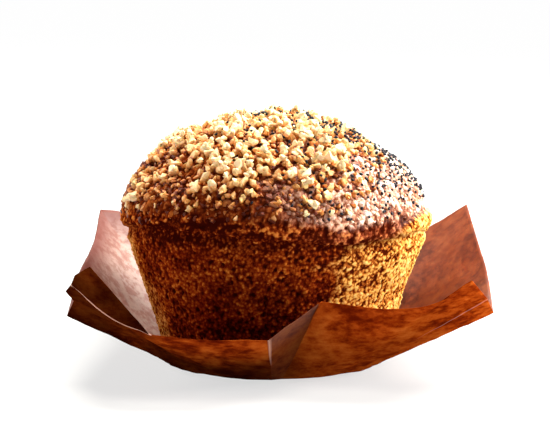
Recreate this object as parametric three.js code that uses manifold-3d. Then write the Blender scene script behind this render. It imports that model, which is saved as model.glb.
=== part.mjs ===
// A crumble-topped poppy seed muffin standing in an opened-out tulip wrapper.
// Millimetres, +Z up. The origin is the centre of the wrapper's flat underside.
import * as THREE from 'three';
import { mergeVertices } from 'three/addons/utils/BufferGeometryUtils.js';
import Module from 'manifold-3d';

// --- Driving dimensions ---------------------------------------------------

const GAP = 0.3;                  // air left between pieces that touch

const PAPER_THICKNESS = 0.4;
const PAPER_BASE_RADIUS = 33;     // flat disc pressed into the middle of the sheet

const SPONGE_BOTTOM = PAPER_THICKNESS + GAP;
const SPONGE_BASE_RADIUS = 32;
const SPONGE_BASE_BEVEL = 1.4;
const SPONGE_SIDE_SLOPE = 0.275;  // mm outwards for each mm up
const NECK_PINCH = 1.0;           // how far the side draws in under the lip
const NECK_HEIGHT = 40.4;         // mean height of the lip's underside
const NECK_LENGTH = 3;            // the last stretch of the side, which draws in
const NECK_ROUNDING = 0.5;
const LIP_RADIUS = 44;
const LIP_UNDERSIDE = [[0.9, 0.2], [0.2, 1.6]];   // inside the lip's radius, above the neck
const LIP_HEIGHT = 44;            // where the crown is widest
const CROWN_TOP = 70;             // top of the crust, without the topping
const CROWN_POWER = 1.8;          // 2 would be an ellipse; less is more pointed
const SPONGE_LEAN = 1.0;          // the foot stands this far to +X of the crown
const SWELL_HEIGHT = 0.5;         // of the slow swells on the crust
const OUT_OF_ROUND = 0.3;         // the lip's three shallow lobes

// Height of the lip's underside every 30 degrees, from +X and anticlockwise.
const LIP_LINE = [38.7, 39.8, 41.0, 40.4, 39.6, 40.6, 39.0, 41.9, 42.6, 41.0, 38.9, 39.7];

const SPONGE_SEGMENTS = 72;
const SIDE_ROWS = 7;
const CROWN_ROWS = 14;

const CRUMB_COUNT = 44;
const CRUMB_WIDTH = [4.4, 6.6];   // smallest and largest crumb, across
const CRUMB_DEPTH = [0.8, 1];     // its other width, over the first
const CRUMB_FLATNESS = 0.62;      // height over width
const CRUMB_RISE = 0.25;          // of its height, from the crust to its middle
const CRUMB_UNEVENNESS = [0.86, 1.14];
const CRUMB_CENTRE = [-6, -5];    // middle of the crumble patch, in plan
const CRUMB_REACH = [30, 35.5];   // half widths of the patch along X and Y

const SEED_COUNT = 14;
const SEED_SIZE = [1.3, 0.95, 0.8];
const SEED_CENTRE = [31, 0];      // beside the crumble patch
const SEED_REACH = [6, 23];

const GOLDEN_ANGLE = Math.PI * (3 - Math.sqrt(5));
const SHARPEST_FOLD = 0.6;        // limits how far a fold's inner corner is drawn in

// --- Small helpers --------------------------------------------------------

const point = (x, y, z) => new THREE.Vector3(x, y, z);
const degrees = (angle) => THREE.MathUtils.degToRad(angle);
const { lerp, smoothstep } = THREE.MathUtils;

// Repeatable pseudo-random numbers between 0 and 1.
function makeRandom(seed) {
  let state = seed;
  return () => {
    state = (state * 16807) % 2147483647;
    return state / 2147483647;
  };
}

// Smooth closed run through evenly spaced values around the axis.
function around(values, angle) {
  const turn = ((angle / (2 * Math.PI)) % 1 + 1) % 1;
  const place = turn * values.length;
  const first = Math.floor(place) % values.length;
  const next = (first + 1) % values.length;
  const ease = smoothstep(place - Math.floor(place), 0, 1);
  return lerp(values[first], values[next], ease);
}

// Keeps only the positions and shares the vertices that meet.
function weld(geometry) {
  const bare = geometry.clone();
  bare.deleteAttribute('normal');
  bare.deleteAttribute('uv');
  return mergeVertices(bare, 1e-3);
}

// --- Sponge ---------------------------------------------------------------

// Radius of the crown's widest line; the crown is a touch out of round.
function crownRadius(angle, clearance) {
  return LIP_RADIUS + OUT_OF_ROUND * Math.sin(3 * angle + 0.7) + clearance;
}

// Slow swells of the crust: they fade to nothing at the lip and at the summit.
function swell(x, y) {
  const along = Math.sin(0.16 * x + 0.9) * Math.cos(0.13 * y - 0.4);
  const across = Math.sin(0.23 * y + 0.11 * x);
  return SWELL_HEIGHT * (along + 0.6 * across);
}

// Height of the crust over a place in plan.
function crownHeight(x, y, clearance = 0) {
  const reach = Math.hypot(x, y) / crownRadius(Math.atan2(y, x), clearance);
  const within = Math.max(0, 1 - Math.pow(Math.min(reach, 1), CROWN_POWER));
  const rise = CROWN_TOP - LIP_HEIGHT + clearance;
  const fade = Math.min(1, 3 * within);
  return LIP_HEIGHT + rise * Math.pow(within, 1 / CROWN_POWER) + swell(x, y) * fade;
}

function crownNormal(x, y) {
  const step = 0.5;
  const slopeX = (crownHeight(x + step, y) - crownHeight(x - step, y)) / (2 * step);
  const slopeY = (crownHeight(x, y + step) - crownHeight(x, y - step)) / (2 * step);
  return point(-slopeX, -slopeY, 1).normalize();
}

// Half outline of the round muffin, from the foot's centre to the summit.
function spongeOutline(clearance) {
  const sideRadius = (height) => SPONGE_BASE_RADIUS + SPONGE_SIDE_SLOPE * height + clearance;
  const outline = [new THREE.Vector2(0, SPONGE_BOTTOM)];
  outline.push(new THREE.Vector2(SPONGE_BASE_RADIUS - SPONGE_BASE_BEVEL, SPONGE_BOTTOM));
  const sideBottom = SPONGE_BOTTOM + SPONGE_BASE_BEVEL;
  const sideTop = NECK_HEIGHT - NECK_LENGTH;
  for (let row = 0; row <= SIDE_ROWS; row += 1) {
    const height = lerp(sideBottom, sideTop, row / SIDE_ROWS);
    outline.push(new THREE.Vector2(sideRadius(height), height));
  }
  const neck = sideRadius(NECK_HEIGHT) - NECK_PINCH;
  outline.push(new THREE.Vector2(neck, NECK_HEIGHT - NECK_ROUNDING));
  LIP_UNDERSIDE.forEach(([inside, above]) => {
    outline.push(new THREE.Vector2(LIP_RADIUS - inside + clearance, NECK_HEIGHT + above));
  });
  for (let row = 0; row <= CROWN_ROWS; row += 1) {
    const turn = (Math.PI / 2) * (row / CROWN_ROWS);
    const reach = row === CROWN_ROWS ? 0 : Math.pow(Math.cos(turn), 2 / CROWN_POWER);
    outline.push(new THREE.Vector2((LIP_RADIUS + clearance) * reach, LIP_HEIGHT));
  }
  return outline;
}

// The muffin's outer surface, `clearance` further out than the crust.
function spongeGeometry(clearance = 0) {
  const geometry = new THREE.LatheGeometry(spongeOutline(clearance), SPONGE_SEGMENTS);
  geometry.rotateX(Math.PI / 2);
  const places = geometry.attributes.position;
  const rowLength = spongeOutline(clearance).length;
  const firstCrownRow = rowLength - CROWN_ROWS - 1;
  for (let i = 0; i < places.count; i += 1) {
    const row = i % rowLength;
    const angle = Math.atan2(places.getY(i), places.getX(i));
    const growth = crownRadius(angle, clearance) / (LIP_RADIUS + clearance);
    let x = places.getX(i);
    let y = places.getY(i);
    let z = Math.abs(places.getZ(i));
    const lipShift = around(LIP_LINE, angle) - NECK_HEIGHT;
    if (row >= firstCrownRow) {
      x *= growth;
      y *= growth;
      z = crownHeight(x, y, clearance);
      const reach = Math.hypot(x, y) / crownRadius(angle, clearance);
      z += 0.5 * lipShift * smoothstep(reach, 0.9, 1);
    } else {
      const nearLip = smoothstep(z, 0.4 * NECK_HEIGHT, NECK_HEIGHT);
      z += lipShift * nearLip;
      x += SPONGE_LEAN * (1 - smoothstep(z, 0, NECK_HEIGHT));
    }
    places.setXYZ(i, x, y, z);
  }
  return weld(geometry);
}

// --- Topping --------------------------------------------------------------

// Turns a unit lump into a crumb or seed of the given size that sits on the crust.
function seatOnCrown(geometry, x, y, size, spin, rise) {
  const normal = crownNormal(x, y);
  const upright = new THREE.Quaternion().setFromUnitVectors(point(0, 0, 1), normal);
  const spun = new THREE.Quaternion().setFromAxisAngle(point(0, 0, 1), spin);
  const seat = point(x, y, crownHeight(x, y)).addScaledVector(normal, rise);
  const placing = new THREE.Matrix4().compose(seat, upright.multiply(spun), size);
  return geometry.applyMatrix4(placing);
}

// An irregular sugary lump, about one unit across.
function lumpGeometry(random) {
  const geometry = weld(new THREE.IcosahedronGeometry(0.5, 1));
  const places = geometry.attributes.position;
  for (let i = 0; i < places.count; i += 1) {
    const stretch = lerp(...CRUMB_UNEVENNESS, random());
    const { x, y, z } = point().fromBufferAttribute(places, i);
    places.setXYZ(i, x * stretch, y * stretch, z * stretch);
  }
  return geometry;
}

// Places spread evenly over an oval patch of the crown, as [x, y] pairs.
function spread(count, centre, reach) {
  return Array.from({ length: count }, (_, i) => {
    const out = Math.sqrt((i + 0.5) / count);
    const turn = i * GOLDEN_ANGLE;
    return [
      centre[0] + reach[0] * out * Math.cos(turn),
      centre[1] + reach[1] * out * Math.sin(turn),
    ];
  });
}

// --- Boolean cut ----------------------------------------------------------

const wasm = await Module();
wasm.setup();

function toSolid(geometry) {
  const vertProperties = new Float32Array(geometry.attributes.position.array);
  const triVerts = new Uint32Array(geometry.index.array);
  return new wasm.Manifold(new wasm.Mesh({ numProp: 3, vertProperties, triVerts }));
}

function toGeometry(solid) {
  const mesh = solid.getMesh();
  const geometry = new THREE.BufferGeometry();
  geometry.setAttribute('position', new THREE.BufferAttribute(mesh.vertProperties, 3));
  geometry.setIndex(new THREE.BufferAttribute(mesh.triVerts, 1));
  return geometry;
}

// --- Wrapper --------------------------------------------------------------

// Corners of the square sheet and the ends of its creases, on the cut edge.
const FRONT_RIDGE = point(-1, -60, 17.2);
const FRONT_VALLEY = point(13, -46, 25);
const FRONT_RIGHT_CORNER = point(51.5, -60, 33.6);
const RIGHT_CREASE = point(57.6, -45, 25.5);
const RIGHT_RIDGE = point(61, -30, 19);
const RIGHT_CORNER = point(61.7, 50, 38);
const BACK_RIDGE = point(0.8, 60, 17.5);
const BACK_VALLEY = point(-13, 46, 25);
const LEFT_CORNER = point(-55.5, 52, 35.8);
const LEFT_RIDGE = point(-57, -30, 18);
const LEFT_NOTCH = point(-54.2, -38, 23.6);
const LEFT_CREASE = point(-55.6, -45, 27.5);
const TURN_UP_LEFT = point(-53.5, -50, 30.4);
const TURN_UP_MIDDLE = point(-42.6, -57, 22.9);
const TURN_UP_RIGHT = point(-32.1, -58, 18.6);
const FRONT_LEFT_SHOULDER = point(-52, -54, 33.7);
const FRONT_LEFT_CORNER = point(-47.4, -60, 37);

const LOWER_ROWS = 4;             // from the base disc up to the edge or the turn-up
const UPPER_ROWS = 2;             // across the turned-up corner
const WALL_BOW = 0.7;             // how far the walls belly outwards

// Panels between creases, anticlockwise from the front: the stretch of the base
// circle they rise from, in degrees, and the stretch of edge they reach.
const PANELS = [
  { from: -90.5, to: -86, columns: 3, edge: [FRONT_RIDGE, FRONT_VALLEY] },
  {
    from: -86, to: -54, columns: 10,
    edge: [FRONT_VALLEY, point(33.6, -51, 24), point(43.1, -54, 26.3), FRONT_RIGHT_CORNER],
  },
  { from: -54, to: -50.5, columns: 3, edge: [FRONT_RIGHT_CORNER, RIGHT_CREASE] },
  { from: -50.5, to: -48, columns: 3, edge: [RIGHT_CREASE, RIGHT_RIDGE] },
  {
    from: -48, to: 45, columns: 14,
    edge: [RIGHT_RIDGE, point(61.1, -15, 25.9), point(61.8, 12, 30), RIGHT_CORNER],
  },
  {
    from: 45, to: 89.5, columns: 9,
    edge: [RIGHT_CORNER, point(49.2, 56, 28.7), point(30, 58, 20), BACK_RIDGE],
  },
  { from: 89.5, to: 94, columns: 3, edge: [BACK_RIDGE, BACK_VALLEY] },
  {
    from: 94, to: 135, columns: 9,
    edge: [BACK_VALLEY, point(-33, 51, 26), point(-48.6, 54, 34.7), LEFT_CORNER],
  },
  {
    from: 135, to: 231.3, columns: 14,
    edge: [LEFT_CORNER, point(-55.1, 28, 29.9), point(-56.6, -4, 24.6), LEFT_RIDGE],
  },
  { from: 231.3, to: 233, columns: 2, edge: [LEFT_RIDGE, LEFT_NOTCH] },
  { from: 233, to: 235, columns: 2, edge: [LEFT_NOTCH, LEFT_CREASE] },
  { from: 235, to: 236.5, columns: 2, edge: [LEFT_CREASE, TURN_UP_LEFT] },
  {
    from: 236.5, to: 252, columns: 9,
    edge: [TURN_UP_LEFT, TURN_UP_MIDDLE, TURN_UP_RIGHT],
    turnUp: [TURN_UP_LEFT, FRONT_LEFT_SHOULDER, FRONT_LEFT_CORNER, TURN_UP_RIGHT],
  },
  { from: 252, to: 269.5, columns: 7, edge: [TURN_UP_RIGHT, point(-17, -61, 17.9), FRONT_RIDGE] },
];

function onBaseCircle(angle) {
  const turn = degrees(angle);
  return point(PAPER_BASE_RADIUS * Math.cos(turn), PAPER_BASE_RADIUS * Math.sin(turn), 0);
}

// Straight runs through the given points, by length.
function straightRun(points) {
  const run = new THREE.CurvePath();
  for (let i = 1; i < points.length; i += 1) {
    run.add(new THREE.LineCurve3(points[i - 1], points[i]));
  }
  return run;
}

// One strip of points from the base circle up to the cut edge.
function wallColumn(panel, share) {
  const foot = onBaseCircle(lerp(panel.from, panel.to, share));
  const smooth = new THREE.CatmullRomCurve3(panel.edge, false, 'centripetal');
  const top = smooth.getPointAt(share);
  const tip = panel.turnUp ? straightRun(panel.turnUp).getPointAt(share) : top;
  const outward = point(foot.x, foot.y, 0).normalize();
  const column = [];
  for (let row = 0; row <= LOWER_ROWS; row += 1) {
    const climb = row / LOWER_ROWS;
    const bow = WALL_BOW * Math.sin(Math.PI * climb);
    column.push(foot.clone().lerp(top, climb).addScaledVector(outward, bow));
  }
  for (let row = 1; row <= UPPER_ROWS; row += 1) {
    column.push(top.clone().lerp(tip, row / UPPER_ROWS));
  }
  return column;
}

// The outside of the folded sheet, as shared points and triangles facing out.
function wrapperSkin() {
  const points = [];
  const known = new Map();
  const indexOf = (place) => {
    const key = [place.x, place.y, place.z].map((value) => value.toFixed(3)).join();
    if (!known.has(key)) {
      known.set(key, points.length);
      points.push(place);
    }
    return known.get(key);
  };
  const triangles = [];
  const addTriangle = (a, b, c) => {
    if (a !== b && b !== c && c !== a) triangles.push([a, b, c]);
  };
  const centre = indexOf(point(0, 0, 0));
  const columns = PANELS.flatMap((panel) => Array.from(
    { length: panel.columns },
    (_, i) => wallColumn(panel, i / panel.columns).map(indexOf),
  ));
  columns.forEach((left, i) => {
    const right = columns[(i + 1) % columns.length];
    addTriangle(centre, right[0], left[0]);
    for (let row = 1; row < left.length; row += 1) {
      addTriangle(left[row - 1], right[row - 1], right[row]);
      addTriangle(left[row - 1], right[row], left[row]);
    }
  });
  return { points, triangles };
}

// Gives an open skin its thickness, inwards, and closes the cut edge.
function thicken({ points, triangles }, thickness) {
  const faceNormals = triangles.map((corners) => {
    const [a, b, c] = corners.map((i) => points[i]);
    return new THREE.Triangle(a, b, c).getNormal(point());
  });
  const facesAt = points.map(() => []);
  triangles.forEach((corners, i) => corners.forEach((corner) => facesAt[corner].push(i)));
  const inner = points.map((place, i) => {
    const mean = point(0, 0, 0);
    facesAt[i].forEach((face) => mean.add(faceNormals[face]));
    mean.normalize();
    const tightest = Math.min(...facesAt[i].map((face) => mean.dot(faceNormals[face])));
    return place.clone().addScaledVector(mean, -thickness / Math.max(tightest, SHARPEST_FOLD));
  });
  const edges = new Map();
  triangles.forEach(([a, b, c]) => [[a, b], [b, c], [c, a]].forEach(([from, to]) => {
    const back = `${to},${from}`;
    if (edges.has(back)) edges.delete(back);
    else edges.set(`${from},${to}`, [from, to]);
  }));
  const count = points.length;
  const index = triangles.flatMap(([a, b, c]) => [a, b, c, c + count, b + count, a + count]);
  edges.forEach(([from, to]) => {
    index.push(to, from, from + count, to, from + count, to + count);
  });
  const geometry = new THREE.BufferGeometry();
  geometry.setFromPoints([...points, ...inner]);
  geometry.setIndex(index);
  return geometry;
}

// --- Materials ------------------------------------------------------------

const crust = () => new THREE.MeshStandardMaterial({ color: 0xa8602a, roughness: 0.85 });
const sugar = () => new THREE.MeshStandardMaterial({ color: 0xd9ab6e, roughness: 0.55 });
const poppy = () => new THREE.MeshStandardMaterial({ color: 0x1d2026, roughness: 0.6 });
const paper = () => new THREE.MeshStandardMaterial({ color: 0x7e3312, roughness: 0.5 });

// --- Assembly -------------------------------------------------------------

const muffinInWrapper = new THREE.Group();

function addPiece(name, geometry, material) {
  const mesh = new THREE.Mesh(geometry, material);
  mesh.name = name;
  muffinInWrapper.add(mesh);
}

const numbered = (name, i) => `${name}_${String(i + 1).padStart(2, '0')}`;

addPiece('tulip_wrapper', thicken(wrapperSkin(), PAPER_THICKNESS), paper());
addPiece('muffin', spongeGeometry(), crust());

const spongeWithGap = toSolid(spongeGeometry(GAP));
const crumbRandom = makeRandom(71);
spread(CRUMB_COUNT, CRUMB_CENTRE, CRUMB_REACH).forEach(([x, y], i) => {
  const width = lerp(...CRUMB_WIDTH, crumbRandom());
  const depth = width * lerp(...CRUMB_DEPTH, crumbRandom());
  const height = width * CRUMB_FLATNESS;
  const lump = lumpGeometry(crumbRandom);
  const spin = 2 * Math.PI * crumbRandom();
  const size = point(width, depth, height);
  const crumb = seatOnCrown(lump, x, y, size, spin, CRUMB_RISE * height);
  const cut = toGeometry(toSolid(crumb).subtract(spongeWithGap));
  addPiece(numbered('crumb', i), cut, sugar());
});

spread(SEED_COUNT, SEED_CENTRE, SEED_REACH).forEach(([x, y], i) => {
  const seed = weld(new THREE.SphereGeometry(0.5, 7, 5));
  const placed = seatOnCrown(seed, x, y, point(...SEED_SIZE), i, GAP + SEED_SIZE[2] / 2);
  addPiece(numbered('poppy_seed', i), placed, poppy());
});

export default muffinInWrapper;
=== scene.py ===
"""A crumble-topped poppy seed muffin in an opened-out paper wrapper, around its CAD frame."""
import math

import bmesh
import bpy
import numpy as np
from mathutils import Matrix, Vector
from mathutils.bvhtree import BVHTree


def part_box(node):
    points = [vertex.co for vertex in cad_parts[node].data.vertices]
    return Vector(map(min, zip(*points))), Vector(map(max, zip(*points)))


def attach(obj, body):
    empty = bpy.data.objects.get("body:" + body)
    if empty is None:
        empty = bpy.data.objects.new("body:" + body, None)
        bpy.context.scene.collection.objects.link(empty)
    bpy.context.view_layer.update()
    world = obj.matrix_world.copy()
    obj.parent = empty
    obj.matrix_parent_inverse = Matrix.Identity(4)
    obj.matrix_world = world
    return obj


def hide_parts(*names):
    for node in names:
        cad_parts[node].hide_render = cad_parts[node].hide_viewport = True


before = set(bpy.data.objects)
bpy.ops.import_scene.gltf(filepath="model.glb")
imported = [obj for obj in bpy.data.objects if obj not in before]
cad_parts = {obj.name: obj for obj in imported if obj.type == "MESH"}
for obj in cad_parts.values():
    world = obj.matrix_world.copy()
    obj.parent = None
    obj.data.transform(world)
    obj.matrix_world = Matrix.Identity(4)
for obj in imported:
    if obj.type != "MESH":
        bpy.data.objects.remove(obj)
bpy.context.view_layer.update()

MM = 0.001                      # the shapes below are worked out in millimetres


# --- The frame's own sizes, in millimetres -----------------------------------

def box_mm(node):
    low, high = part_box(node)
    return np.array(low) / MM, np.array(high) / MM


SPONGE_LOW, SPONGE_HIGH = box_mm("muffin")
CRUMB_NODES = sorted(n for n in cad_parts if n.startswith("crumb_"))
SEED_NODES = sorted(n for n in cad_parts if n.startswith("poppy_seed_"))

SPONGE_BOTTOM = SPONGE_LOW[2]
LIP_RADIUS = (SPONGE_HIGH[0] - SPONGE_LOW[0]) / 2
BASE_RADIUS = 32.0              # of the sponge's foot
SIDE_SLOPE = 0.275              # outwards for each step up
FOOT_BEND = 1.6                 # radius of the foot's rounded edge
NECK_HEIGHT = 40.4              # underside of the lip, on average
NECK_PINCH = 1.4                # how far the side draws in under the lip
NECK_LENGTH = 3.0               # the last stretch of the side, which draws in
LIP_HEIGHT = 44.0               # where the crown is widest
CROWN_RISE = 26.0               # from there to the summit
CROWN_POWER = 1.8               # 2 would be an ellipse; less is more pointed
OUT_OF_ROUND = 0.3              # the lip's three shallow lobes
SWELL_HEIGHT = 0.5              # of the slow swells on the crust
LEAN = 1.0                      # the foot stands this far to +X of the crown
# Height of the lip's underside every 30 degrees, from +X and anticlockwise.
LIP_LINE = [38.7, 39.8, 41.0, 40.4, 39.6, 40.6, 39.0, 41.9, 42.6, 41.0, 38.9, 39.7]

GRAIN_WIDTH = 1.15              # pebbles of the open crumb on the side wall
PIT_WIDTH = 1.9                 # cells that a pit may lie in
KNOB_WIDTH = 1.7                # knobs of the crust
LIP_RAGGEDNESS = 0.9            # how far the lip's lower edge wanders up and down
RIGHT_FILL = 1.7                # the wall stands this much prouder under the right of the lip


# --- Noise -------------------------------------------------------------------

def cell_hash(cells, seed):
    """A repeatable number from 0 to 1 for each integer cell."""
    x, y, z = (cells[..., i].astype(np.uint64) for i in range(3))
    with np.errstate(over="ignore"):
        h = x * np.uint64(73856093) ^ y * np.uint64(19349663) ^ z * np.uint64(83492791)
        h = (h ^ np.uint64(seed * 7919 + 17)) * np.uint64(0x9E3779B97F4A7C15)
        h = (h ^ (h >> np.uint64(29))) * np.uint64(0xBF58476D1CE4E5B9)
    return ((h >> np.uint64(40)) & np.uint64(0xFFFFFF)).astype(float) / 0xFFFFFF


def smooth_noise(points, size, seed):
    """Soft value noise from -1 to 1, with features about `size` across."""
    place = points / size + 1000.0
    cell = np.floor(place).astype(np.int64)
    part = place - cell
    part = part * part * (3 - 2 * part)
    total = np.zeros(len(points))
    for corner in np.ndindex(2, 2, 2):
        step = np.array(corner)
        weight = np.prod(np.where(step == 1, part, 1 - part), axis=1)
        total += weight * cell_hash(cell + step, seed)
    return 2 * total - 1


def layered_noise(points, size, seed, layers=3):
    """Soft noise with finer, weaker layers on top, from -1 to 1."""
    total, strength, reach = np.zeros(len(points)), 1.0, 0.0
    for layer in range(layers):
        total += strength * smooth_noise(points, size / 2 ** layer, seed + layer)
        reach += strength
        strength *= 0.5
    return total / reach


def cell_noise(points, size, seed):
    """Distance to the nearest scattered point, in cells, and that point's own number."""
    place = points / size + 1000.0
    cell = np.floor(place).astype(np.int64)
    nearest = np.full(len(points), 9.0)
    own = np.zeros(len(points))
    for offset in np.ndindex(3, 3, 3):
        there = cell + np.array(offset) - 1
        jitter = np.stack([cell_hash(there, seed + k) for k in range(3)], axis=1)
        distance = np.linalg.norm(there + jitter - place, axis=1)
        closer = distance < nearest
        nearest = np.where(closer, distance, nearest)
        own = np.where(closer, cell_hash(there, seed + 3), own)
    return nearest, own


def ramp(values, low, high):
    """Smoothly 0 below low and 1 above high."""
    t = np.clip((values - low) / (high - low), 0, 1)
    return t * t * (3 - 2 * t)


# --- Meshes ------------------------------------------------------------------

def ring_faces(rows, columns):
    """Quads of a grid whose rows are closed rings of vertices."""
    faces = []
    for row in range(rows - 1):
        for column in range(columns):
            a = row * columns + column
            b = row * columns + (column + 1) % columns
            faces.append((a, b, b + columns, a + columns))
    return faces


def new_mesh(name, points_mm, faces, values=None):
    """A mesh object from millimetre points, with named numbers kept on its vertices."""
    mesh = bpy.data.meshes.new(name)
    mesh.from_pydata((np.asarray(points_mm) * MM).tolist(), [], faces)
    for key, numbers in (values or {}).items():
        layer = mesh.attributes.new(key, "FLOAT", "POINT")
        layer.data.foreach_set("value", np.asarray(numbers, np.float32))
    mesh.validate()
    mesh.update()
    piece = bpy.data.objects.new(name, mesh)
    bpy.context.scene.collection.objects.link(piece)
    return piece


def grid_normals(points, rows, columns):
    """Outward normals of a grid of closed rings, from each point's neighbours."""
    grid = points.reshape(rows, columns, 3)
    along = np.roll(grid, -1, axis=1) - np.roll(grid, 1, axis=1)
    up = np.gradient(grid, axis=0)
    normal = np.cross(along, up)
    length = np.linalg.norm(normal, axis=2, keepdims=True)
    return (normal / np.maximum(length, 1e-9)).reshape(-1, 3)


# --- Sponge ------------------------------------------------------------------

def around(values, angle):
    """Smooth closed run through evenly spaced values around the axis."""
    values = np.asarray(values)
    place = (angle / (2 * math.pi)) % 1.0 * len(values)
    first = np.floor(place).astype(int) % len(values)
    after = (first + 1) % len(values)
    ease = ramp(place - np.floor(place), 0, 1)
    return values[first] * (1 - ease) + values[after] * ease


def crown_radius(angle):
    return LIP_RADIUS + OUT_OF_ROUND * np.sin(3 * angle + 0.7)


def crown_height(x, y):
    """Height of the smooth crust over places in plan."""
    reach = np.hypot(x, y) / crown_radius(np.arctan2(y, x))
    within = np.maximum(0, 1 - np.minimum(reach, 1) ** CROWN_POWER)
    swell = SWELL_HEIGHT * (np.sin(0.16 * x + 0.9) * np.cos(0.13 * y - 0.4)
                            + 0.6 * np.sin(0.23 * y + 0.11 * x))
    return LIP_HEIGHT + CROWN_RISE * within ** (1 / CROWN_POWER) + swell * np.minimum(1, 3 * within)


def crown_normal(x, y):
    step = 0.4
    slope_x = (crown_height(x + step, y) - crown_height(x - step, y)) / (2 * step)
    slope_y = (crown_height(x, y + step) - crown_height(x, y - step)) / (2 * step)
    normal = np.stack([-slope_x, -slope_y, np.ones_like(slope_x)], axis=-1)
    return normal / np.linalg.norm(normal, axis=-1, keepdims=True)


def sponge_outline(rows):
    """Half outline from the foot's centre to the summit, with most rows from foot to lip."""
    foot = BASE_RADIUS - FOOT_BEND
    points = [(0.0, SPONGE_BOTTOM), (foot, SPONGE_BOTTOM)]
    for turn in np.linspace(0.3, 1.5, 5):
        points.append((foot + FOOT_BEND * math.sin(turn),
                       SPONGE_BOTTOM + FOOT_BEND * (1 - math.cos(turn))))
    for height in np.linspace(SPONGE_BOTTOM + FOOT_BEND + 0.1, NECK_HEIGHT - NECK_LENGTH, 12):
        points.append((BASE_RADIUS + SIDE_SLOPE * height, height))
    neck = BASE_RADIUS + SIDE_SLOPE * NECK_HEIGHT - NECK_PINCH
    points.append((neck + 0.2, NECK_HEIGHT - 1.2))
    points.append((neck + 0.3, NECK_HEIGHT - 0.3))
    for turn in np.linspace(0, 1.2, 6):
        points.append((neck + 0.5 + 2.1 * math.sin(turn), NECK_HEIGHT + 1.9 * (1 - math.cos(turn))))
    for turn in np.linspace(0.02, 0.5 * math.pi, 60):
        out = LIP_RADIUS * math.cos(turn) ** (2 / CROWN_POWER)
        up = LIP_HEIGHT + CROWN_RISE * math.sin(turn) ** (2 / CROWN_POWER)
        points.append((max(out, 0.0), up))
    points = np.array(points)
    length = np.concatenate([[0], np.cumsum(np.linalg.norm(np.diff(points, axis=0), axis=1))])
    wall_end = length[(points[:, 1] <= LIP_HEIGHT + 7) & (points[:, 0] > BASE_RADIUS / 2)].max()
    marks = np.concatenate([np.linspace(0, foot - 3, rows // 17, endpoint=False),
                            np.linspace(foot - 3, wall_end, rows * 6 // 10, endpoint=False)])
    marks = np.concatenate([marks, np.linspace(wall_end, length[-1], rows - len(marks))])
    return np.stack([np.interp(marks, length, points[:, k]) for k in range(2)], axis=1)


def sponge_surface(rows, columns):
    """The smooth muffin as rings of points, with each one's angle and height on the outline."""
    outline = sponge_outline(rows)
    angle = np.tile(np.arange(columns) * 2 * math.pi / columns, rows)
    radius = np.repeat(outline[:, 0], columns)
    height = np.repeat(outline[:, 1], columns)
    radius = radius * (crown_radius(angle) / LIP_RADIUS * ramp(height, 30, 42)
                       + 1 - ramp(height, 30, 42))
    x, y = radius * np.cos(angle), radius * np.sin(angle)
    over_lip = height >= LIP_HEIGHT
    lip_shift = around(LIP_LINE, angle) - NECK_HEIGHT
    crown = crown_height(x, y)
    reach = radius / crown_radius(angle)
    z = np.where(over_lip,
                 crown + 0.5 * lip_shift * ramp(reach, 0.9, 1),
                 height + lip_shift * ramp(height, 0.4 * NECK_HEIGHT, NECK_HEIGHT)
                 * (1 - 0.5 * ramp(height, NECK_HEIGHT, LIP_HEIGHT)))
    x = x + np.where(over_lip, 0, LEAN * (1 - ramp(height, 0, NECK_HEIGHT)))
    return np.stack([x, y, z], axis=1), angle, height


def golden_and_lit_share(points, angle, height):
    """How pale and gold the wall is: at the right and the far left edge, partly its own colour and
    partly painted light; down one smooth strip and low at the left, its own colour.
    """
    turn = np.cos(angle)
    patch = layered_noise(points, 11.0, 91, 3)
    strip = np.exp(-((turn + 0.26) / 0.10) ** 2) * ramp(height, 20, 34) * (np.sin(angle) < 0)
    low_left = ramp(-turn, 0.60, 0.95) * ramp(-height, -30, -8)
    share = ramp(turn + 0.40 * patch, 0.22, 0.72) + 0.6 * ramp(-turn + 0.1 * patch, 0.84, 1.0)
    return np.clip(share + 0.32 * strip + 0.35 * low_left + 0.10 * ramp(patch, 0.1, 0.5), 0, 1)


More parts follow.
